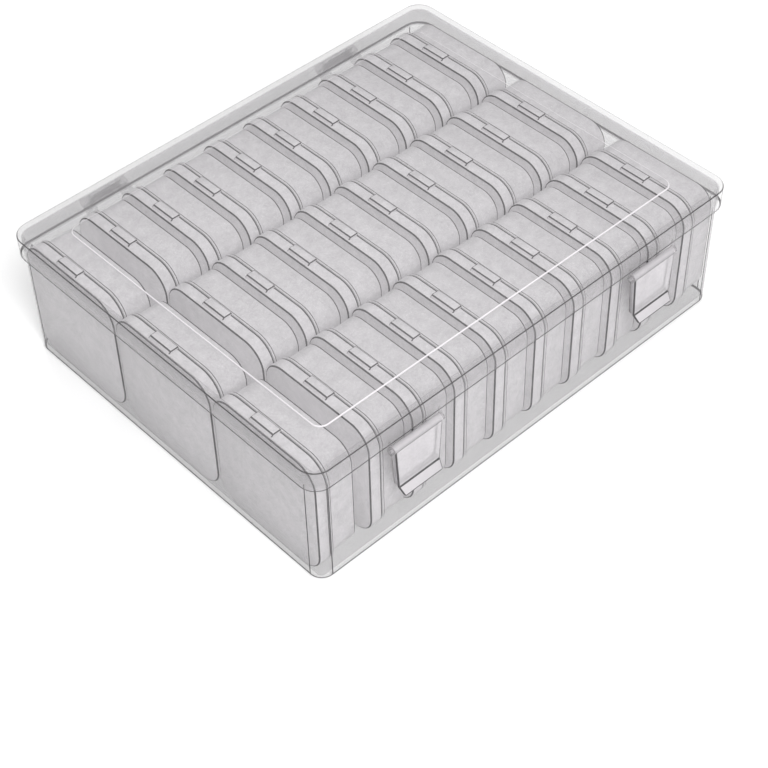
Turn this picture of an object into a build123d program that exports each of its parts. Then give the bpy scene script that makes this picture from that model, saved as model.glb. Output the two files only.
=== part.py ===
from build123d import *
import math
import os

# Small lidded box: it stands on a narrow edge, with its lid towards -X
box_depth = 21.4
box_width = 62.6
box_height = 62.4
box_wall = 1.1
tray_back = 1.6
box_corner = 11.0
outer_facets = 3
inner_facets = 2
small_lid_depth = 6.6
small_lid_front = 1.4
small_lid_bevel = 3.2
flange_depth = 1.3
tray_inset = 1.6
tray_bevel = 1.8
tab_width = 13.0
tab_height = 1.0
tab_slope = 2.4

# How the small boxes are packed in the tub
rows = 10
columns = 3
front_gap = 0.3
first_gap = 7.25
row_gap = 2.55
back_gap = 0.25
column_gap = 1.6
side_gap = 0.6
head_clearance = 1.5

# Tub
tub_wall = 1.6
tub_floor = 1.6
tub_corner_room = 1.8
tub_edge = 1.5

# Case lid
plate_thickness = 1.5
skirt_wall = 1.8
skirt_height = 11.0
lid_fit = 0.5
lid_edge = 1.0
panel_end_margin = 18.9
panel_side_margin = 17.5
panel_rise = 0.7
panel_corner = 5.0
panel_bevel = 0.5

# How far the hinges and the latches stand out past the lid
side_reach = 6.0

# Snap hinges on the +Y side: the tub's ears carry a rod that the lid's open knuckles clip over
hinge_end_margin = 53.5
hinge_width = 24.0
hinge_ear_width = 4.0
hinge_side_gap = 0.3
rod_radius = 1.3
hinge_clearance = 0.05
knuckle_radius = 2.8
knuckle_mouth = 2.2
knuckle_root = 5.5
ear_root = 9.0
skirt_gap = 0.4

# Latches on the -Y side
latch_end_margin = 53.5
latch_top_width = 26.2
latch_foot_width = 23.3
latch_lip_width = 21.5
latch_standoff = 3.0
latch_barrel_radius = 1.8
latch_gap = 0.2
latch_drop = 24.0
latch_lip_drop = 4.0
latch_plate = 1.6
latch_lip = 1.9
latch_cheek = 3.1
hook_height = 2.4
latch_side_gap = 0.15
latch_ear_width = 1.2
latch_ear_root = 3.0
latch_pin_radius = 0.8
latch_pin_clearance = 0.05

# Catch bead on the tub under each latch
bead_clearance = 0.15
bead_lift = 0.5
bead_height = 2.4
bead_width = 17.0
bead_slope = 1.0

# Flats round the ears, the knuckles and the latch barrels
ear_facets = 12

# How far a joined piece runs into the wall that carries it
bite = 0.5

# Sizes that follow from the ones above
row_starts = [front_gap + n * (box_depth + row_gap) + (first_gap - row_gap if n else 0) for n in range(rows)]
tub_inner_length = row_starts[-1] + box_depth + back_gap
tub_inner_width = columns * box_width + (columns - 1) * column_gap + 2 * side_gap
tub_length = tub_inner_length + 2 * tub_wall
tub_width = tub_inner_width + 2 * tub_wall
tub_inner_corner = small_lid_bevel + tub_corner_room
tub_corner = tub_inner_corner + tub_wall
case_length = tub_length + 2 * (lid_fit + skirt_wall)
case_width = tub_width + 2 * (lid_fit + skirt_wall)
case_corner = tub_corner + lid_fit + skirt_wall
rim_z = tub_floor + box_height + tab_height + head_clearance
top_z = rim_z + plate_thickness
skirt_z = top_z - skirt_height
mouth_inset = tray_inset + box_wall
hinge_offset = case_length / 2 - hinge_end_margin
hinge_y = case_width / 2 + side_reach - knuckle_radius
hinge_z = skirt_z
latch_offset = case_length / 2 - latch_end_margin
latch_y = -case_width / 2 - latch_standoff + latch_barrel_radius
latch_z = skirt_z - latch_gap - latch_barrel_radius
foot_z = skirt_z - latch_drop
hook_y = -case_width / 2 - latch_standoff + latch_cheek


def area(*points):
    """Flat face inside a closed run of straight lines."""
    return make_face(Polyline(*points, close=True))


def disc(y, z, radius):
    """Round face in the YZ plane."""
    return Pos(y, z) * Circle(radius)


def knob(y, z, radius):
    """Face in the YZ plane, rounded by flats, with a corner on each axis."""
    return Pos(y, z) * RegularPolygon(radius, ear_facets)


def along_x(face, x_from, x_to):
    """Prism of a YZ face between two places on X."""
    return extrude(Plane.YZ.offset(x_from) * face, x_to - x_from)


def along_z(face, z_from, z_to):
    """Prism of an XY face between two heights."""
    return extrude(Plane.XY.offset(z_from) * face, z_to - z_from)


def box_outline(inset, facets=outer_facets):
    """Rounded square of the small box, in the YZ plane, set in evenly from its outside."""
    radius = box_corner - inset
    across = box_width / 2 - box_corner
    up = box_height / 2 - box_corner
    points = []
    for quarter, (side, top) in enumerate([(1, 1), (-1, 1), (-1, -1), (1, -1)]):
        for step in range(facets + 1):
            angle = math.radians(90 * (quarter + step / facets))
            points.append((side * across + radius * math.cos(angle), top * up + radius * math.sin(angle)))
    return area(*points)


def edges_at_x(solid, x):
    """Edges that lie in one plane across X."""
    return [e for e in solid.edges() if abs(e.bounding_box().min.X - x) < 1e-4 and e.bounding_box().size.X < 1e-4]


def small_tray():
    """Tray with its mouth towards -X, a thin flange round the mouth and softened rear edges."""
    body = along_x(box_outline(tray_inset), small_lid_depth, box_depth)
    body = chamfer(edges_at_x(body, box_depth), tray_bevel)
    flange = along_x(box_outline(0), small_lid_depth, small_lid_depth + flange_depth)
    hollow = along_x(box_outline(mouth_inset, inner_facets), small_lid_depth, box_depth - tray_back)
    return body + flange - hollow


def small_lid():
    """Cap with a bevelled front edge and a raised finger tab on top."""
    cap = along_x(box_outline(0), 0, small_lid_depth)
    cap = chamfer(edges_at_x(cap, 0), small_lid_bevel)
    hollow = along_x(box_outline(mouth_inset, inner_facets), small_lid_front, small_lid_depth)
    top = box_height / 2
    side = area(
        (small_lid_bevel - tab_slope / 2, top - tab_slope / 2),
        (small_lid_bevel + tab_slope / 2, top + tab_height),
        (small_lid_depth, top + tab_height),
        (small_lid_depth, top - box_wall / 2),
    )
    tab = extrude(Plane.XZ * side, tab_width / 2, both=True)
    return cap + tab - hollow


def box_places(row):
    """Centre points of the front faces of one row's boxes."""
    x = row_starts[row] - tub_inner_length / 2
    first = -(columns - 1) / 2 * (box_width + column_gap)
    z = tub_floor + box_height / 2
    return [(x, first + n * (box_width + column_gap), z) for n in range(columns)]


def hinge_spans(middle):
    """Where a hinge's two ears and its knuckle start and end along X."""
    outer = hinge_width / 2
    inner = outer - hinge_ear_width
    ears = [(middle - outer, middle - inner), (middle + inner, middle + outer)]
    return ears, (middle - inner + hinge_side_gap, middle + inner - hinge_side_gap)


def hinge_ears(middle):
    """Two ears on the tub's rear wall, with the rod between them."""
    wall = tub_width / 2 - bite
    top = skirt_z - skirt_gap
    arm = area((wall, top - ear_root), (wall, top), (hinge_y, top), (hinge_y, hinge_z - knuckle_radius))
    ears, _ = hinge_spans(middle)
    pieces = [along_x(knob(hinge_y, hinge_z, knuckle_radius) + arm, *ear) for ear in ears]
    rod = along_x(disc(hinge_y, hinge_z, rod_radius), ears[0][1] - bite, ears[1][0] + bite)
    return pieces + [rod]


def hinge_knuckle(middle):
    """The lid's barrel round the rod, open at the back so that it can snap on."""
    wall = case_width / 2 - bite
    web = area(
        (wall, skirt_z),
        (wall, skirt_z + knuckle_root),
        (hinge_y, hinge_z + knuckle_radius),
        (hinge_y, hinge_z - knuckle_radius),
    )
    _, span = hinge_spans(middle)
    barrel = along_x(knob(hinge_y, hinge_z, knuckle_radius) + web, *span)
    bore = along_x(disc(hinge_y, hinge_z, rod_radius + hinge_clearance), *span)
    mouth = Pos(hinge_y + knuckle_radius, hinge_z) * Rectangle(2 * knuckle_radius, knuckle_mouth)
    return barrel - bore - along_x(mouth, *span)


def catch_bead(middle):
    """Bead on the tub's front wall that the latch's hook passes."""
    wall = -tub_width / 2 + bite
    tip = hook_y + bead_clearance
    low = foot_z + hook_height + bead_lift
    high = low + bead_height
    section = area((wall, low), (tip, low), (tip, high - bead_slope), (wall, high + bead_slope))
    return along_x(section, middle - bead_width / 2, middle + bead_width / 2)


def latch_ears(middle):
    """Two ears under the lid's skirt, each bored for one of the latch's pins."""
    skirt = -case_width / 2
    gusset = area(
        (latch_y - latch_barrel_radius, latch_z),
        (skirt, skirt_z + latch_ear_root),
        (skirt + bite, skirt_z + latch_ear_root),
        (skirt + bite, latch_z),
    )
    section = knob(latch_y, latch_z, latch_barrel_radius) + gusset
    section -= disc(latch_y, latch_z, latch_pin_radius + latch_pin_clearance)
    start = latch_top_width / 2 + latch_side_gap
    spans = [(-start - latch_ear_width, -start), (start, start + latch_ear_width)]
    return [along_x(section, middle + a, middle + b) for a, b in spans]


def latch(middle):
    """Tapered flap with side cheeks, a hook across its foot and a finger lip that flares out."""
    face_y = -case_width / 2 - latch_standoff
    back_y = face_y + latch_plate
    lip_y = -case_width / 2 - side_reach
    lip_z = foot_z - latch_lip_drop
    hook_z = foot_z + hook_height
    block = area(
        (face_y, latch_z),
        (face_y, foot_z),
        (lip_y, lip_z),
        (lip_y + latch_lip, lip_z),
        (back_y, foot_z),
        (hook_y, foot_z),
        (hook_y, latch_z),
    )
    room = area((back_y, hook_z), (hook_y + bite, hook_z), (hook_y + bite, latch_z), (back_y, latch_z))
    widths = [(latch_top_width, latch_z), (latch_foot_width, foot_z), (latch_lip_width, lip_z)]

    def tapered(section, wall):
        """A YZ section cut to the latch's tapered front outline, in by one wall."""
        right = [(middle + w / 2 - wall, z) for w, z in widths]
        left = [(middle - w / 2 + wall, z) for w, z in reversed(widths)]
        front = extrude(Plane.XZ * area(*right, *left), case_width, both=True)
        return along_x(section, middle - latch_top_width / 2, middle + latch_top_width / 2) & front

    half = latch_top_width / 2
    pin = half + latch_side_gap + latch_ear_width
    barrel = along_x(knob(latch_y, latch_z, latch_barrel_radius), middle - half, middle + half)
    pins = along_x(disc(latch_y, latch_z, latch_pin_radius), middle - pin, middle + pin)
    return tapered(block, 0) - tapered(room, latch_plate) + barrel + pins


def tub():
    """Open tub with rounded corners, hinge ears behind and catch beads in front."""
    outside = along_z(RectangleRounded(tub_length, tub_width, tub_corner), 0, rim_z)
    outside = chamfer(outside.faces().sort_by(Axis.Z)[0].edges(), tub_edge)
    inside = along_z(RectangleRounded(tub_inner_length, tub_inner_width, tub_inner_corner), tub_floor, rim_z)
    body = outside - inside
    for side in (-1, 1):
        for piece in hinge_ears(side * hinge_offset):
            body += piece
        body += catch_bead(side * latch_offset)
    return body


def case_lid():
    """Lid plate with a raised panel, a skirt, knuckles behind and latch ears in front."""
    outside = along_z(RectangleRounded(case_length, case_width, case_corner), skirt_z, top_z)
    outside = chamfer(outside.faces().sort_by(Axis.Z)[-1].edges(), lid_edge)
    inner_length = case_length - 2 * skirt_wall
    inner_width = case_width - 2 * skirt_wall
    inside = along_z(RectangleRounded(inner_length, inner_width, case_corner - skirt_wall), skirt_z, rim_z)
    panel_length = case_length - 2 * panel_end_margin
    panel_width = case_width - 2 * panel_side_margin
    panel_face = RectangleRounded(panel_length, panel_width, panel_corner)
    panel = along_z(panel_face, top_z - plate_thickness / 2, top_z + panel_rise)
    panel = chamfer(panel.faces().sort_by(Axis.Z)[-1].edges(), panel_bevel)
    body = outside - inside + panel
    for side in (-1, 1):
        body += hinge_knuckle(side * hinge_offset)
        for piece in latch_ears(side * latch_offset):
            body += piece
    return body


def write(name, shape):
    """One named piece, or one group of like pieces, to its own file."""
    export_step(shape, f"parts/{name}.step")


os.makedirs("parts", exist_ok=True)
write("tub", tub())
write("case_lid", case_lid())
write("latch_left", latch(-latch_offset))
write("latch_right", latch(latch_offset))
tray = small_tray()
lid = small_lid()
column_names = ["front", "middle", "rear"]
for row in range(rows):
    places = box_places(row)
    for column, place in enumerate(places):
        where = column_names[column] if columns == len(column_names) else f"column{column + 1}"
        write(f"tray_row{row + 1:02d}_{where}", Pos(*place) * tray)
    write(f"small_lids_row{row + 1:02d}", Compound(children=[Pos(*place) * lid for place in places]))
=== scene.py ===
"""Looks of the clear bead storage box: a latched case with upright small lidded boxes inside."""

import logging
import math
from dataclasses import dataclass, field
from enum import Enum
from typing import Any, Callable, Iterable, Sequence

import bmesh
import bpy
from bmesh.types import BMEdge, BMesh, BMFace, BMVert
from mathutils import Matrix, Vector

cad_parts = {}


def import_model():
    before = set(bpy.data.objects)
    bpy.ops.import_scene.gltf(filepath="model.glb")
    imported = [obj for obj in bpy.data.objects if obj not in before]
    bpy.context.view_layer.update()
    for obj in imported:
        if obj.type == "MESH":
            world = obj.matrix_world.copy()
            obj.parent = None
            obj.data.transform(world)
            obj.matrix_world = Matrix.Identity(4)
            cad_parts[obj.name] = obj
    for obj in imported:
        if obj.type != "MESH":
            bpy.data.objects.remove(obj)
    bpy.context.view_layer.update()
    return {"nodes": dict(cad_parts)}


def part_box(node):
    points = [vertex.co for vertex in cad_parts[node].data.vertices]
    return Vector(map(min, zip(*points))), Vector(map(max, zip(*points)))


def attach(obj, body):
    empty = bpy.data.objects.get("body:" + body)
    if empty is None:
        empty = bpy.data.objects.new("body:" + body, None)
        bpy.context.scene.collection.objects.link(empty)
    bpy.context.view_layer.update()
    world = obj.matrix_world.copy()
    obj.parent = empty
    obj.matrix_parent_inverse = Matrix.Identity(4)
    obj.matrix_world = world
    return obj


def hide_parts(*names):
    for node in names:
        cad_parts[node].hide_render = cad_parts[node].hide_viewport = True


LOG = logging.getLogger("bead_box")
MM = 0.001
WHITE = (1.0, 1.0, 1.0, 1.0)
FACING_FRONT = Matrix(((0, 0, -1, 0), (1, 0, 0, 0), (0, 1, 0, 0), (0, 0, 0, 1)))

# Lengths are in millimetres and angles in degrees.
MERGE = 1e-5
TOUCH = 1e-3
SHARP_ANGLE = 50.0
SMOOTH_ANGLE = 35.0
CORNER_FACETS = 8
LINE_FACETS = 2


class Socketed:
    """A shader value that can be used in plain arithmetic."""

    def __init__(self, tree: "NodeTree", socket: bpy.types.NodeSocket) -> None:
        """Keeps the node tree and the output socket.

        Args:
            tree: the material or world being written.
            socket: the output that holds the value.
        """
        self.tree = tree
        self.socket = socket

    def _math(self, operation: str, first: Any, second: Any) -> "Socketed":
        """Adds one Math node.

        Args:
            operation: the node's operation.
            first: a number or a Socketed.
            second: a number or a Socketed.

        Returns:
            The node's result.
        """
        return self.tree.node("ShaderNodeMath", {"operation": operation}, {0: first, 1: second})

    def __add__(self, other: Any) -> "Socketed":
        """Sum."""
        return self._math("ADD", self, other)

    def __radd__(self, other: Any) -> "Socketed":
        """Sum, reflected."""
        return self._math("ADD", other, self)

    def __sub__(self, other: Any) -> "Socketed":
        """Difference."""
        return self._math("SUBTRACT", self, other)

    def __rsub__(self, other: Any) -> "Socketed":
        """Difference, reflected."""
        return self._math("SUBTRACT", other, self)

    def __mul__(self, other: Any) -> "Socketed":
        """Product."""
        return self._math("MULTIPLY", self, other)

    def __rmul__(self, other: Any) -> "Socketed":
        """Product, reflected."""
        return self._math("MULTIPLY", other, self)


class NodeTree:
    """Writes the nodes of one material or world."""

    def __init__(self, owner: bpy.types.Material | bpy.types.World) -> None:
        """Empties the owner's nodes.

        Args:
            owner: the new material or world.
        """
        owner.use_nodes = True
        self.owner = owner
        self.nodes = owner.node_tree.nodes
        self.links = owner.node_tree.links
        self.nodes.clear()

    def node(
        self,
        kind: str,
        settings: dict[str, Any] | None = None,
        inputs: dict[Any, Any] | None = None,
        output: Any = 0,
    ) -> Socketed:
        """Adds any node.

        Args:
            kind: the node's type.
            settings: its settings, set first.
            inputs: socket name or place, with a value or a Socketed.
            output: name or place of the output to return.

        Returns:
            The chosen output.
        """
        made = self.nodes.new(kind)
        for key, value in (settings or {}).items():
            if key == "stops":
                for stop, (place, shade) in zip(made.color_ramp.elements, value):
                    stop.position = place
                    stop.color = shade
            else:
                setattr(made, key, value)
        for key, value in (inputs or {}).items():
            if isinstance(value, Socketed):
                self.links.new(value.socket, made.inputs[key])
            else:
                made.inputs[key].default_value = value
        return Socketed(self, made.outputs[output] if made.outputs else None)


@dataclass(frozen=True)
class Grain:
    """An even noise over a surface."""

    scale: float
    detail: float
    roughness: float

    def add(self, tree: NodeTree, place: Socketed) -> Socketed:
        """Adds the noise to a material.

        Args:
            tree: the material being written.
            place: the piece's own coordinates.

        Returns:
            The noise, from 0 to 1.
        """
        inputs = {"Vector": place, "Scale": self.scale, "Detail": self.detail, "Roughness": self.roughness}
        return tree.node("ShaderNodeTexNoise", inputs=inputs)


@dataclass(frozen=True)
class ClearPlastic:
    """Clear moulded plastic, seen as a pale translucent skin with a soft gloss.

    The body of the plastic is see-through by alpha, so that what lies behind it shows straight through.
    It grows denser towards its outline by rim, and its glow is painted light: an even white emission that
    lifts the shade between parts, standing for the light that the plastic scatters inside.
    """

    name: str
    shade: float
    alpha: float
    mottle: float
    roughness: float
    coat: float = 0.1
    gloss: float = 0.5
    rim: float = 0.0
    painted_glow: float = 0.0
    green: float = 0.967
    cloud: Grain = Grain(190.0, 3.0, 0.6)
    speck: Grain = Grain(900.0, 2.0, 0.7)
    alpha_drift: float = 0.35
    roughness_drift: float = 0.5
    rim_start: float = 0.7
    rim_rise: float = 4.0
    bump: float = 0.05
    bump_depth: float = 0.0004
    refraction: float = 1.49
    coat_roughness: float = 0.08

    def shade_at(self, value: float) -> tuple[float, float, float, float]:
        """Turns a grey value into this plastic's colour, a touch away from green."""
        return (value, value * self.green, value, 1.0)

    def build(self) -> bpy.types.Material:
        """Writes the material.

        Returns:
            The finished material.
        """
        tree = NodeTree(bpy.data.materials.new(self.name))
        place = tree.node("ShaderNodeTexCoord", output="Object")
        cloud = self.cloud.add(tree, place)
        speck = self.speck.add(tree, place)
        drift = (cloud - 0.5) * self.mottle + (speck - 0.5) * self.mottle
        low, high = self.shade - self.mottle, self.shade + self.mottle
        stops = [(0.0, self.shade_at(low)), (1.0, self.shade_at(high))]
        colour = tree.node("ShaderNodeValToRGB", {"stops": stops}, {"Fac": drift * (1 / self.mottle) + 0.5})
        alpha = drift * self.alpha_drift + self.alpha
        if self.rim:
            facing = tree.node("ShaderNodeLayerWeight", inputs={"Blend": 0.5}, output="Facing")
            grazing = tree.node(
                "ShaderNodeMath", {"operation": "MULTIPLY", "use_clamp": True},
                {0: facing - self.rim_start, 1: self.rim_rise},
            )
            alpha = alpha + grazing * self.rim
        relief = tree.node(
            "ShaderNodeBump", inputs={"Strength": self.bump, "Distance": self.bump_depth, "Height": speck},
            output="Normal",
        )
        plastic = tree.node(
            "ShaderNodeBsdfPrincipled",
            inputs={
                "Base Color": colour,
                "Roughness": drift * self.roughness_drift + self.roughness,
                "Alpha": alpha,
                "Normal": relief,
                "IOR": self.refraction,
                "Specular IOR Level": self.gloss,
                "Coat Weight": self.coat,
                "Coat Roughness": self.coat_roughness,
                # Painted glow: an even white emission that lifts the plastic's shade.
                "Emission Color": WHITE,
                "Emission Strength": self.painted_glow,
            },
        )
        tree.node("ShaderNodeOutputMaterial", inputs={"Surface": plastic})
        return tree.owner


class Layer(Enum):
    """Which finish a face of a piece takes: its skin, a dark edge of painted shade or a painted highlight.
    """

    SKIN = 0
    EDGE = 1
    GLINT = 2


@dataclass
class Palette:
    """The finishes, by the pieces that use them."""

    case: list[bpy.types.Material] = field(default_factory=list)
    box: list[bpy.types.Material] = field(default_factory=list)
    cap: list[bpy.types.Material] = field(default_factory=list)
    latch: list[bpy.types.Material] = field(default_factory=list)

    def build(self) -> "Palette":
        """Makes every finish once.

        Returns:
            The palette itself.
        """
        # A pale, nearly opaque finish for painted highlights on slopes and rounded rims.
        glint = ClearPlastic("clear_glint", shade=0.74, alpha=0.92, mottle=0.02, roughness=0.30).build()
        # Near-black finishes for painted shade: dark strips along the edges, where clear plastic looks dark
        # by refraction.
        case_edge_shade = ClearPlastic(
            "case_edge_shade", shade=0.08, alpha=0.92, mottle=0.03, roughness=0.60, coat=0.0, gloss=0.1,
        ).build()
        box_edge_shade = ClearPlastic(
            "box_edge_shade", shade=0.03, alpha=1.0, mottle=0.02, roughness=0.60, coat=0.0, gloss=0.05,
        ).build()
        # Painted highlight for the latch's lip, used in the glint slot.
        lip = ClearPlastic(
            "latch_lip_highlight", shade=0.52, alpha=0.92, mottle=0.03, roughness=0.45, coat=0.0, gloss=0.2,
        )
        case = ClearPlastic(
            "case_skin", shade=0.36, alpha=0.165, mottle=0.05, roughness=0.30, gloss=0.3, rim=0.55,
        )
        latch = ClearPlastic(
            "latch_skin", shade=0.66, alpha=0.50, mottle=0.06, roughness=0.20, coat=0.3, gloss=0.4, rim=0.3,
        )
        # The box and small lid skins carry a painted glow that brightens their shaded gaps.
        box = ClearPlastic(
            "box_skin", shade=0.54, alpha=0.90, mottle=0.14, roughness=0.36, gloss=0.3, painted_glow=0.16,
        )
        cap = ClearPlastic(
            "small_lid_skin", shade=0.57, alpha=0.93, mottle=0.14, roughness=0.34, gloss=0.3, painted_glow=0.16,
        )
        self.case = [case.build(), case_edge_shade, glint]
        self.box = [box.build(), box_edge_shade, glint]
        self.cap = [cap.build(), box_edge_shade, glint]
        self.latch = [latch.build(), case_edge_shade, lip.build()]
        return self


class Mould:
    """One piece being modelled, in millimetres, by mesh operators."""

    def __init__(self) -> None:
        """Starts an empty mesh."""
        self.bm: BMesh = bmesh.new()

    def rounded_plate(self, width: float, height: float, radius: float, turn: Matrix) -> BMFace:
        """Adds a flat face with rounded corners.

        Args:
            width: size along the face's first axis.
            height: size along its second axis.
            radius: corner radius.
            turn: takes the face from the XY plane at the origin to its place.

        Returns:
            The face.
        """
        before = set(self.bm.faces)
        made = bmesh.ops.create_grid(self.bm, x_segments=1, y_segments=1, size=0.5)
        bmesh.ops.scale(self.bm, vec=(width, height, 1.0), verts=made["verts"])
        bmesh.ops.bevel(
            self.bm, geom=made["verts"], offset=radius, offset_type="OFFSET", affect="VERTICES",
            segments=CORNER_FACETS, profile=0.5, material=-1,
        )
        face = next(f for f in self.bm.faces if f not in before)
        bmesh.ops.transform(self.bm, matrix=turn, verts=face.verts[:])
        return face

    def polygon(self, points: Sequence[Sequence[float]]) -> BMFace:
        """Adds a flat face from a few corners.

        Args:
            points: the corners in order.

        Returns:
            The face.
        """
        return self.bm.faces.new([self.bm.verts.new(point) for point in points])

    def push(self, face: BMFace, vector: Sequence[float], keep: bool = False) -> BMFace:
        """Extrudes a face.

        Args:
            face: the face to extrude.
            vector: how far it goes.
            keep: leaves a face behind, so that a lone face becomes a closed solid.

        Returns:
            The moved face.
        """
        if keep:
            made = bmesh.ops.extrude_face_region(self.bm, geom=[face], use_keep_orig=True)
        else:
            made = bmesh.ops.extrude_face_region(self.bm, geom=[face])
            bmesh.ops.delete(self.bm, geom=[face], context="FACES_ONLY")
        verts = [item for item in made["geom"] if isinstance(item, BMVert)]
        bmesh.ops.translate(self.bm, vec=vector, verts=verts)
        return next(item for item in made["geom"] if isinstance(item, BMFace))

    def prism(self, points: Sequence[Sequence[float]], vector: Sequence[float]) -> list[BMVert]:
        """Adds a closed prism.

        Args:
            points: corners of one end.
            vector: from that end to the other.

        Returns:
            Its vertices.
        """
        before = set(self.bm.verts)
        self.push(self.polygon(points), vector, keep=True)
        return [v for v in self.bm.verts if v not in before]

    def inset(self, face: BMFace, thickness: float) -> BMFace:
        """Insets a face evenly, and returns the inner face."""
        bmesh.ops.inset_region(self.bm, faces=[face], thickness=thickness, use_even_offset=True)
        return face

    def replace_inner(self, face: BMFace, length: float, width: float, radius: float, z: float) -> BMFace:
        """Puts a smaller rounded face inside a level face, joined to it by a flat ring.

        Args:
            face: the level face round the origin.
            length: size of the smaller face along X.
            width: its size along Y.
            radius: its corner radius.
            z: the height of both.

        Returns:
            The smaller face.
        """
        outer = face.edges[:]
        bmesh.ops.delete(self.bm, geom=[face], context="FACES_ONLY")
        inner = self.rounded_plate(length, width, radius, Matrix.Translation((0, 0, z)))
        ring = bmesh.ops.bridge_loops(self.bm, edges=outer + inner.edges[:])
        for part in ring["faces"]:
            part.material_index = Layer.SKIN.value
        return inner

    def round_rim(self, face: BMFace, size: float, segments: int, layer: Layer) -> None:
        """Rounds the edges round a face.

        Args:
            face: the face.
            size: width of the rounding on each side.
            segments: facets across it.
            layer: the finish of the new faces.
        """
        made = bmesh.ops.bevel(
            self.bm, geom=face.edges[:], offset=size, offset_type="OFFSET", affect="EDGES",
            segments=segments, profile=0.5, material=-1,
        )
        for new in made["faces"]:
            new.material_index = layer.value

    def rod(self, radius: float, x_from: float, x_to: float, y: float, z: float, segments: int = 28) -> None:
        """Adds a round bar along X.

        Args:
            radius: its radius.
            x_from: one end.
            x_to: the other end.
            y: its axis on Y.
            z: its axis on Z.
            segments: facets round it.
        """
        turn = Matrix.Translation(((x_from + x_to) / 2, y, z)) @ Matrix.Rotation(math.pi / 2, 4, "Y")
        bmesh.ops.create_cone(
            self.bm, cap_ends=True, segments=segments, radius1=radius, radius2=radius,
            depth=x_to - x_from, matrix=turn,
        )

    def edge_lines(
        self, width: float, keep: Callable[[BMEdge], bool], sharper_than: float = SHARP_ANGLE
    ) -> None:
        """Softens some sharp edges and gives the narrow strips the edge finish, a painted dark shade along
        the edges where clear plastic looks dark.

        Args:
            width: how far a strip reaches from its edge.
            keep: picks the edges.
            sharper_than: least angle between the two faces, in degrees.
        """
        self.tidy()
        least = math.radians(sharper_than)
        sharp = [
            e for e in self.bm.edges
            if len(e.link_faces) == 2 and e.calc_face_angle(0.0) > least and keep(e)
        ]
        made = bmesh.ops.bevel(
            self.bm, geom=sharp, offset=width, offset_type="OFFSET", affect="EDGES",
            segments=LINE_FACETS, profile=0.5, clamp_overlap=True, material=-1,
        )
        for new in made["faces"]:
            new.material_index = Layer.EDGE.value

    def tidy(self) -> None:
        """Merges doubles and turns every face outwards."""
        bmesh.ops.remove_doubles(self.bm, verts=self.bm.verts[:], dist=MERGE)
        bmesh.ops.recalc_face_normals(self.bm, faces=self.bm.faces[:])

    def finish(self, name: str, materials: Iterable[bpy.types.Material]) -> bpy.types.Object:
        """Turns the mesh into an object at the origin, in metres.

        Faces that meet at less than SMOOTH_ANGLE degrees shade as one.

        Args:
            name: the object's name.
            materials: its finishes, in the order of Layer.

        Returns:
            The object.
        """
        self.tidy()
        bmesh.ops.scale(self.bm, vec=(MM, MM, MM), verts=self.bm.verts[:])
        for face in self.bm.faces:
            face.smooth = True
        most = math.radians(SMOOTH_ANGLE)
        for edge in self.bm.edges:
            edge.smooth = len(edge.link_faces) == 2 and edge.calc_face_angle(0.0) < most
        mesh = bpy.data.meshes.new(name)
        self.bm.to_mesh(mesh)
        self.bm.free()
        for material in materials:
            mesh.materials.append(material)
        piece = bpy.data.objects.new(name, mesh)
        bpy.context.scene.collection.objects.link(piece)
        LOG.info("%s: %d faces", name, len(mesh.polygons))
        return piece


def depth_in(along: float, across: float, length: float, width: float, corner: float) -> float:
    """Tells how far a point lies inside a rounded rectangle round the origin.

    Args:
        along: the point's first coordinate.
        across: its second coordinate.
        length: size of the rectangle along the first axis.
        width: size along the second axis.
        corner: corner radius.

    Returns:
        The distance from the outline, 0 on it.
    """
    first = abs(along) - length / 2 + corner
    second = abs(across) - width / 2 + corner
    return corner - math.hypot(max(first, 0), max(second, 0)) - min(max(first, second), 0)


def at_tangent(edge: BMEdge, length: float, width: float, corner: float) -> bool:
    """Tells whether an upright edge is where a flat side runs into a rounded corner.

    Args:
        edge: the edge.
        length: size of the outline along X.
        width: size along Y.
        corner: corner radius.

    Returns:
        True for the two edges at each corner.
    """
    start, end = edge.verts[0].co, edge.verts[1].co
    x, y = abs(start.x), abs(start.y)
    on_side = abs(x - length / 2 + corner) < TOUCH and abs(y - width / 2) < TOUCH
    on_end = abs(y - width / 2 + corner) < TOUCH and abs(x - length / 2) < TOUCH
    return (start.xy - end.xy).length < MERGE and (on_side or on_end)


def dress(piece: bpy.types.Object, body: str, slot: str, *nodes: str) -> None:
    """Ties a finished piece to the frame.

    Args:
        piece: the object.
        body: the body that it moves with.
        slot: not used.
        nodes: the nodes that it stands for.
    """
    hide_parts(*nodes)
    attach(piece, body)


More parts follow.
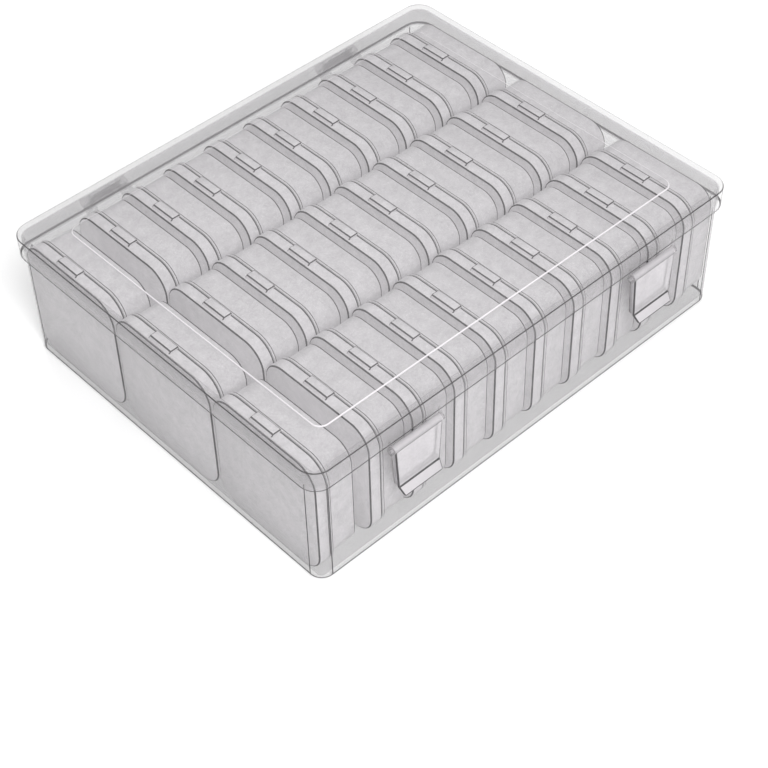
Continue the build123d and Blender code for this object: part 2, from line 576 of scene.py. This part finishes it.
@dataclass
class SmallBox:
    """One upright small box: a flanged tray and its lid, which faces -X."""

    tray_node: str
    lid_node: str
    lid_depth: float = 6.6
    lid_front: float = 1.4
    wall: float = 1.1
    back: float = 1.6
    corner: float = 11.0
    flange: float = 1.3
    inset: float = 1.6
    tab_width: float = 13.8
    tab_shift: float = 2.2
    tab_height: float = 1.0
    tab_start: float = 0.7
    tab_crest: float = 2.3
    slope_facing: float = 0.3
    # Widths of the painted dark edge shade strips.
    front_line: float = 0.55
    rear_line: float = 0.85
    lid_seam_line: float = 1.0
    flange_line: float = 0.6
    tab_line: float = 0.4

    def __post_init__(self) -> None:
        """Reads the box's place and size from the frame."""
        low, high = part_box(self.tray_node)
        self.low = low / MM
        self.high = high / MM
        self.width = self.high.y - self.low.y
        self.height = self.high.z - self.low.z
        self.depth = self.high.x - self.low.x + self.lid_depth
        self.front_x = self.low.x - self.lid_depth
        self.mid_y = (self.low.y + self.high.y) / 2
        self.mid_z = (self.low.z + self.high.z) / 2

    def outside(self, edge: BMEdge, reach: float, after_x: float, before_x: float = math.inf) -> bool:
        """Tells whether an edge lies near the box's outline and between two planes across X.

        Args:
            edge: the edge.
            reach: how far in from the outline it may lie.
            after_x: the nearer plane.
            before_x: the farther plane.

        Returns:
            True if it does.
        """
        outline = (self.width, self.height, self.corner)
        return all(
            after_x < v.co.x < before_x
            and depth_in(v.co.y - self.mid_y, v.co.z - self.mid_z, *outline) < reach
            for v in edge.verts
        )

    def outline(self, mould: Mould, x: float) -> BMFace:
        """Adds the box's outline as a face across X.

        Args:
            mould: the mesh.
            x: where the face lies.

        Returns:
            The face.
        """
        turn = Matrix.Translation((x, self.mid_y, self.mid_z)) @ FACING_FRONT
        return mould.rounded_plate(self.width, self.height, self.corner, turn)

    def tray(self, palette: Palette) -> bpy.types.Object:
        """Models the tray.

        Args:
            palette: the finishes.

        Returns:
            The finished piece.
        """
        mould = Mould()
        mouth_x = self.front_x + self.lid_depth
        front = self.outline(mould, mouth_x)
        rear = mould.push(front, (self.flange, 0, 0), keep=True)
        rear = mould.inset(rear, self.inset)
        rear = mould.push(rear, (self.depth - self.lid_depth - self.flange, 0, 0))
        hollow = mould.inset(front, self.inset + self.wall)
        mould.push(hollow, (self.depth - self.lid_depth - self.back, 0, 0))
        rear_x = self.high.x - self.flange / 2
        mould.edge_lines(self.rear_line, lambda e: self.outside(e, self.inset + self.wall / 2, rear_x))
        mould.edge_lines(self.flange_line, lambda e: self.outside(e, self.wall, mouth_x + TOUCH))
        return mould.finish(self.tray_node.replace("tray", "clear_tray"), palette.box)

    def lid(self, palette: Palette) -> bpy.types.Object:
        """Models the small lid with its tab.

        Args:
            palette: the finishes.

        Returns:
            The finished piece.
        """
        mould = Mould()
        rim = self.outline(mould, self.front_x + self.lid_depth)
        mould.push(rim, (-self.lid_depth, 0, 0), keep=True)
        hollow = mould.inset(rim, self.inset + self.wall)
        mould.push(hollow, (self.lid_front - self.lid_depth, 0, 0))
        reach, front_x = self.wall / 2, self.front_x
        seam_x = front_x + self.lid_depth - TOUCH
        mould.edge_lines(self.lid_seam_line, lambda e: self.outside(e, reach, seam_x))
        mould.edge_lines(self.front_line, lambda e: self.outside(e, reach, front_x - TOUCH, front_x + TOUCH))
        self.tab(mould)
        name = self.tray_node.replace("tray", "clear_small_lid")
        return mould.finish(name, palette.cap)

    def tab(self, mould: Mould) -> None:
        """Adds the raised finger tab to the lid's top.

        Args:
            mould: the lid's mesh.
        """
        top = self.mid_z + self.height / 2
        half = self.tab_width / 2
        y = self.mid_y + self.tab_shift - half
        profile = [
            (self.front_x + self.tab_start, y, top - self.front_line),
            (self.front_x + self.tab_crest, y, top + self.tab_height),
            (self.front_x + self.lid_depth, y, top + self.tab_height),
            (self.front_x + self.lid_depth, y, top - self.wall / 2),
        ]
        verts = mould.prism(profile, (0, self.tab_width, 0))
        mould.bm.normal_update()
        # Painted highlight: the tab's sloped front takes the pale glint finish.
        for face in (f for v in verts for f in v.link_faces if f.normal.x < -self.slope_facing):
            face.material_index = Layer.GLINT.value
        # Painted shade: dark strips round the tab's edges take the edge finish.
        edges = list(dict.fromkeys(e for v in verts for e in v.link_edges))
        made = bmesh.ops.bevel(
            mould.bm, geom=edges, offset=self.tab_line, offset_type="OFFSET", affect="EDGES",
            segments=LINE_FACETS, profile=0.5, material=-1,
        )
        for face in made["faces"]:
            face.material_index = Layer.EDGE.value

    def build(self, palette: Palette) -> None:
        """Models, dresses and ties both pieces to the tub.

        Args:
            palette: the finishes.
        """
        dress(self.tray(palette), "tub", "box_clear", self.tray_node)
        dress(self.lid(palette), "tub", "box_clear", self.lid_node)


@dataclass
class Tub:
    """The open tub with its hinge ears and catch beads."""

    wall: float = 1.6
    floor: float = 1.6
    width: float = 195.4
    corner: float = 6.6
    inner_corner: float = 2.0
    bottom_line: float = 0.75
    skirt_gap: float = 0.4
    ear_root: float = 9.0
    corner_line: float = 0.3
    corner_angle: float = 1.0
    bead_width: float = 17.0
    bead_height: float = 2.4
    bead_slope: float = 1.0
    bead_low: float = 35.9
    bead_tip_y: float = -99.75

    def build(self, palette: Palette, hinges: "Hinges") -> None:
        """Models and dresses the tub.

        Args:
            palette: the finishes.
            hinges: sizes of the hinges.
        """
        low, high = (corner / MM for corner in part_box("tub"))
        mould = Mould()
        length = high.x - low.x
        rim = mould.rounded_plate(length, self.width, self.corner, Matrix.Translation((0, 0, high.z)))
        mould.push(rim, (0, 0, low.z - high.z), keep=True)
        inside = (length - 2 * self.wall, self.width - 2 * self.wall)
        inner = mould.replace_inner(rim, *inside, self.inner_corner, high.z)
        mould.push(inner, (0, 0, low.z + self.floor - high.z))
        everything = [*mould.bm.verts, *mould.bm.edges, *mould.bm.faces]
        bmesh.ops.bisect_plane(mould.bm, geom=everything, plane_co=(0, 0, hinges.z), plane_no=(0, 0, 1))
        outline = (length, self.width, self.corner)
        under_lid = hinges.z + MERGE
        # Painted shade: dark strips up the corners' tangent lines, where the rounded walls turn away, and
        # along the bottom edge.
        mould.edge_lines(
            self.corner_line,
            lambda e: at_tangent(e, *outline) and all(v.co.z < under_lid for v in e.verts),
            self.corner_angle,
        )
        mould.edge_lines(self.bottom_line, lambda e: all(
            v.co.z < low.z + MERGE and depth_in(v.co.x, v.co.y, *outline) < self.wall for v in e.verts
        ))
        for middle in hinges.middles:
            self.ears(mould, hinges, middle)
            self.bead(mould, middle)
        dress(mould.finish("clear_tub", palette.case), "tub", "case_clear", "tub")

    def ears(self, mould: Mould, hinges: "Hinges", middle: float) -> None:
        """Adds one hinge's two ears and the rod between them.

        Args:
            mould: the tub's mesh.
            hinges: sizes of the hinges.
            middle: the hinge's middle on X.
        """
        wall = self.width / 2
        top = hinges.z - self.skirt_gap
        for start in (-hinges.width / 2, hinges.width / 2 - hinges.ear_width):
            x = middle + start
            arm = [
                (x, wall, top - self.ear_root), (x, wall, top), (x, hinges.y, top),
                (x, hinges.y, hinges.z - hinges.radius),
            ]
            mould.prism(arm, (hinges.ear_width, 0, 0))
            mould.rod(hinges.radius, x, x + hinges.ear_width, hinges.y, hinges.z)
        reach = hinges.width / 2 - hinges.ear_width
        mould.rod(hinges.rod_radius, middle - reach, middle + reach, hinges.y, hinges.z)

    def bead(self, mould: Mould, middle: float) -> None:
        """Adds the catch bead under one latch.

        Args:
            mould: the tub's mesh.
            middle: the latch's middle on X.
        """
        x = middle - self.bead_width / 2
        wall = -self.width / 2
        high = self.bead_low + self.bead_height
        section = [
            (x, wall, self.bead_low), (x, self.bead_tip_y, self.bead_low),
            (x, self.bead_tip_y, high - self.bead_slope), (x, wall, high + self.bead_slope),
        ]
        mould.prism(section, (self.bead_width, 0, 0))


@dataclass
class Hinges:
    """Sizes of the two snap hinges behind, and the lid's knuckles."""

    offset: float = 71.5
    y: float = 103.2
    z: float = 57.0
    width: float = 24.0
    ear_width: float = 4.0
    side_gap: float = 0.3
    radius: float = 2.8
    rod_radius: float = 1.3
    clearance: float = 0.05
    root: float = 5.5
    web_lean: float = 0.2
    mouth_angle: float = 55.0
    steps: int = 22

    @property
    def middles(self) -> tuple[float, float]:
        """Middles of the two hinges on X, which the latches share."""
        return (-self.offset, self.offset)

    def knuckle(self, mould: Mould, middle: float, wall: float) -> None:
        """Adds one open knuckle and its web to the lid.

        Args:
            mould: the lid's mesh.
            middle: the hinge's middle on X.
            wall: the skirt's outer face on Y.
        """
        half = self.width / 2 - self.ear_width - self.side_gap
        inner = self.rod_radius + self.clearance
        start = math.radians(self.mouth_angle / 2)
        along = Vector((0, math.cos(start), math.sin(start)))
        centre = Vector((0, self.y, self.z))
        corners = [
            centre + along * inner + Vector((middle - half, 0, 0)),
            centre + along * self.radius + Vector((middle - half, 0, 0)),
            centre + along * self.radius + Vector((middle + half, 0, 0)),
            centre + along * inner + Vector((middle + half, 0, 0)),
        ]
        face = mould.polygon(corners)
        bmesh.ops.spin(
            mould.bm, geom=[face, *face.edges, *face.verts], cent=centre, axis=(1, 0, 0),
            angle=math.radians(360 - self.mouth_angle), steps=self.steps, use_duplicate=False,
        )
        x, y = middle - half, self.y - inner
        web = [
            (x, wall, self.z), (x, wall, self.z + self.root),
            (x, y, self.z + self.radius), (x, y - self.web_lean, self.z - self.radius / 2),
        ]
        mould.prism(web, (2 * half, 0, 0))


@dataclass
class CaseLid:
    """The case lid: plate, skirt, raised panel, knuckles and latch ears."""

    plate: float = 1.5
    skirt_wall: float = 1.8
    width: float = 200.0
    corner: float = 8.9
    top_round: float = 0.4
    panel_end_margin: float = 18.9
    panel_side_margin: float = 17.5
    panel_rise: float = 0.7
    panel_corner: float = 5.0
    panel_round: float = 0.5
    round_facets: int = 3
    panel_facets: int = 2
    skirt_line: float = 0.75

    def build(self, palette: Palette, hinges: Hinges, latches: list["Latch"]) -> None:
        """Models and dresses the lid.

        Args:
            palette: the finishes.
            hinges: sizes of the hinges.
            latches: the latches that the lid carries.
        """
        low, high = (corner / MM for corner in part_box("case_lid"))
        length = high.x - low.x
        top = high.z - self.panel_rise
        bottom = hinges.z
        mould = Mould()
        rim = mould.rounded_plate(length, self.width, self.corner, Matrix.Translation((0, 0, bottom)))
        cap = mould.push(rim, (0, 0, top - bottom), keep=True)
        # Painted shade: the rounded top edge takes the dark edge finish.
        mould.round_rim(cap, self.top_round, self.round_facets, Layer.EDGE)
        inner = mould.inset(rim, self.skirt_wall)
        mould.push(inner, (0, 0, top - self.plate - bottom))
        self.panel(mould, length, top)
        mould.edge_lines(self.skirt_line, lambda e: all(
            v.co.z < bottom + MERGE
            and depth_in(v.co.x, v.co.y, length, self.width, self.corner) < self.skirt_wall / 2
            for v in e.verts
        ))
        for middle in hinges.middles:
            hinges.knuckle(mould, middle, self.width / 2)
        for latch in latches:
            latch.ears(mould, -self.width / 2, bottom)
        dress(mould.finish("clear_case_lid", palette.case), "lid", "case_clear", "case_lid")

    def panel(self, mould: Mould, length: float, top: float) -> None:
        """Raises the panel out of the plate.

        Args:
            mould: the lid's mesh.
            length: the lid's length.
            top: height of the plate's top.
        """
        mould.tidy()
        plate = max(
            (f for f in mould.bm.faces if abs(f.calc_center_median().z - top) < MERGE), key=BMFace.calc_area
        )
        size = (length - 2 * self.panel_end_margin, self.width - 2 * self.panel_side_margin)
        face = mould.replace_inner(plate, *size, self.panel_corner, top)
        raised = mould.push(face, (0, 0, self.panel_rise))
        # Painted highlight: the panel's rounded rim takes the pale glint finish.
        mould.round_rim(raised, self.panel_round, self.panel_facets, Layer.GLINT)


@dataclass
class Latch:
    """One tapered latch with cheeks, hook, lip and stub pins, and the ears that carry it."""

    node: str
    middle: float
    top_width: float = 26.2
    foot_width: float = 23.3
    lip_width: float = 21.5
    face_y: float = -103.0
    lip_y: float = -106.0
    hook_y: float = -99.9
    plate: float = 1.6
    lip: float = 1.9
    axis_y: float = -101.2
    axis_z: float = 55.0
    foot_z: float = 33.0
    lip_z: float = 29.0
    barrel: float = 1.8
    pin: float = 0.8
    ear_width: float = 1.2
    side_gap: float = 0.15
    ear_root: float = 3.0
    lip_facing: float = 0.5
    pin_facets: int = 16
    ear_facets: int = 20
    line: float = 0.55
    line_angle: float = 25.0

    def build(self, palette: Palette) -> None:
        """Models and dresses the latch.

        Args:
            palette: the finishes.
        """
        mould = Mould()
        x = -self.top_width / 2
        block = [
            (x, self.face_y, self.axis_z), (x, self.face_y, self.foot_z), (x, self.lip_y, self.lip_z),
            (x, self.lip_y + self.lip, self.lip_z), (x, self.face_y + self.plate, self.foot_z),
            (x, self.hook_y, self.foot_z), (x, self.hook_y, self.axis_z),
        ]
        verts = mould.prism(block, (self.top_width, 0, 0))
        for level, width in ((self.foot_z, self.foot_width), (self.lip_z, self.lip_width)):
            at_level = [v for v in verts if abs(v.co.z - level) < MERGE]
            bmesh.ops.scale(mould.bm, vec=(width / self.top_width, 1, 1), verts=at_level)
        mould.tidy()
        back = max(
            (f for f in mould.bm.faces if abs(f.calc_center_median().y - self.hook_y) < MERGE),
            key=BMFace.calc_area,
        )
        pocket = mould.inset(back, self.plate)
        mould.push(pocket, (0, self.face_y + self.plate - self.hook_y, 0))
        mould.bm.normal_update()
        # Painted highlight: the forward-facing faces between the lip and the foot take the lip finish.
        for face in mould.bm.faces:
            if self.lip_z < face.calc_center_median().z < self.foot_z and face.normal.y < -self.lip_facing:
                face.material_index = Layer.GLINT.value
        mould.edge_lines(self.line, lambda e: True, self.line_angle)
        half = self.top_width / 2
        mould.rod(self.barrel, -half, half, self.axis_y, self.axis_z)
        reach = half + self.side_gap + self.ear_width
        mould.rod(self.pin, -reach, reach, self.axis_y, self.axis_z, self.pin_facets)
        bmesh.ops.translate(mould.bm, vec=(self.middle, 0, 0), verts=mould.bm.verts[:])
        dress(mould.finish(f"clear_{self.node}", palette.latch), self.node, "case_clear", self.node)

    def ears(self, mould: Mould, skirt_y: float, skirt_z: float) -> None:
        """Adds the two ears under the skirt.

        Args:
            mould: the lid's mesh.
            skirt_y: the skirt's outer face.
            skirt_z: the skirt's lower edge.
        """
        inner = self.top_width / 2 + self.side_gap
        for start in (-inner - self.ear_width, inner):
            x = self.middle + start
            gusset = [
                (x, self.axis_y - self.barrel, self.axis_z), (x, skirt_y, skirt_z + self.ear_root),
                (x, skirt_y, self.axis_z),
            ]
            mould.prism(gusset, (self.ear_width, 0, 0))
            mould.rod(self.barrel, x, x + self.ear_width, self.axis_y, self.axis_z, self.ear_facets)


@dataclass(frozen=True)
class Lamp:
    """One soft square lamp that faces the object."""

    name: str
    place: tuple[float, float, float]
    size: float
    power: float

    def build(self) -> None:
        """Adds the lamp."""
        data = bpy.data.lights.new(self.name, "AREA")
        data.size = self.size
        data.energy = self.power
        lamp = bpy.data.objects.new(self.name, data)
        aim = (-Vector(self.place)).to_track_quat("-Z", "Y")
        lamp.matrix_world = Matrix.Translation(self.place) @ aim.to_matrix().to_4x4()
        bpy.context.scene.collection.objects.link(lamp)


@dataclass(frozen=True)
class Studio:
    """Plain pale floor, soft light and the photograph's camera."""

    lens: float = 86.30
    sensor: float = 36.0
    place: tuple[float, float, float] = (-0.4136, -0.4588, 0.5999)
    right: tuple[float, float, float] = (0.72728, -0.68612, -0.01741)
    up: tuple[float, float, float] = (0.50407, 0.51675, 0.69201)
    floor_size: float = 12.0
    floor_shade: float = 0.93
    floor_roughness: float = 0.9
    world_strength: float = 0.42
    clear_skins: int = 24
    lamps: tuple[Lamp, ...] = (
        Lamp("key", (-0.6, -1.3, 1.5), 1.0, 42.0),
        Lamp("fill", (0.9, 0.9, 1.6), 1.4, 14.0),
    )

    def camera(self) -> None:
        """Adds the camera at the photograph's viewing angle."""
        data = bpy.data.cameras.new("view")
        data.lens = self.lens
        data.sensor_width = self.sensor
        right, up = Vector(self.right).normalized(), Vector(self.up).normalized()
        back = right.cross(up)
        camera = bpy.data.objects.new("view", data)
        turn = Matrix((right, up, back)).transposed().to_4x4()
        camera.matrix_world = Matrix.Translation(self.place) @ turn
        bpy.context.scene.collection.objects.link(camera)
        bpy.context.scene.camera = camera

    def surroundings(self) -> None:
        """Lights the object evenly and shows white where nothing stands."""
        tree = NodeTree(bpy.data.worlds.new("studio"))
        straight = tree.node("ShaderNodeLightPath", output="Is Camera Ray")
        through = tree.node("ShaderNodeLightPath", output="Is Transmission Ray")
        seen = tree.node("ShaderNodeMath", {"operation": "MAXIMUM"}, {0: straight, 1: through})
        strength = tree.node(
            "ShaderNodeMapRange", output="Result",
            inputs={"Value": seen, "To Min": self.world_strength, "To Max": 1.0},
        )
        light = tree.node("ShaderNodeBackground", inputs={"Color": WHITE, "Strength": strength})
        tree.node("ShaderNodeOutputWorld", inputs={"Surface": light})
        bpy.context.scene.world = tree.owner

    def floor(self) -> None:
        """Lays the floor under the case."""
        bm = bmesh.new()
        bmesh.ops.create_grid(bm, x_segments=1, y_segments=1, size=self.floor_size / 2)
        mesh = bpy.data.meshes.new("floor")
        bm.to_mesh(mesh)
        bm.free()
        tree = NodeTree(bpy.data.materials.new("pale_floor"))
        inputs = {"Base Color": (self.floor_shade,) * 3 + (1.0,), "Roughness": self.floor_roughness}
        surface = tree.node("ShaderNodeBsdfPrincipled", inputs=inputs)
        tree.node("ShaderNodeOutputMaterial", inputs={"Surface": surface})
        mesh.materials.append(tree.owner)
        piece = bpy.data.objects.new("floor", mesh)
        bpy.context.scene.collection.objects.link(piece)

    def build(self) -> None:
        """Sets up floor, light and camera."""
        bpy.context.scene.view_settings.view_transform = "Standard"
        bpy.context.scene.cycles.transparent_max_bounces = self.clear_skins
        self.camera()
        self.surroundings()
        self.floor()
        for lamp in self.lamps:
            lamp.build()


def small_boxes(nodes: Iterable[str]) -> list[SmallBox]:
    """Pairs each tray with the node of its row's lids.

    Args:
        nodes: the frame's nodes.

    Returns:
        Every small box.
    """
    found = [node for node in sorted(nodes) if node.startswith("tray_")]
    return [SmallBox(node, f"small_lids_{node.split('_')[1]}") for node in found]


def main() -> None:
    """Builds every piece around the frame."""
    logging.basicConfig(level=logging.INFO, format="%(name)s %(message)s")
    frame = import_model()
    Studio().build()
    palette = Palette().build()
    hinges = Hinges()
    latches = [Latch("latch_left", -hinges.offset), Latch("latch_right", hinges.offset)]
    Tub().build(palette, hinges)
    CaseLid().build(palette, hinges, latches)
    for latch in latches:
        latch.build(palette)
    for box in small_boxes(frame["nodes"]):
        box.build(palette)


if __name__ == "__main__":
    main()
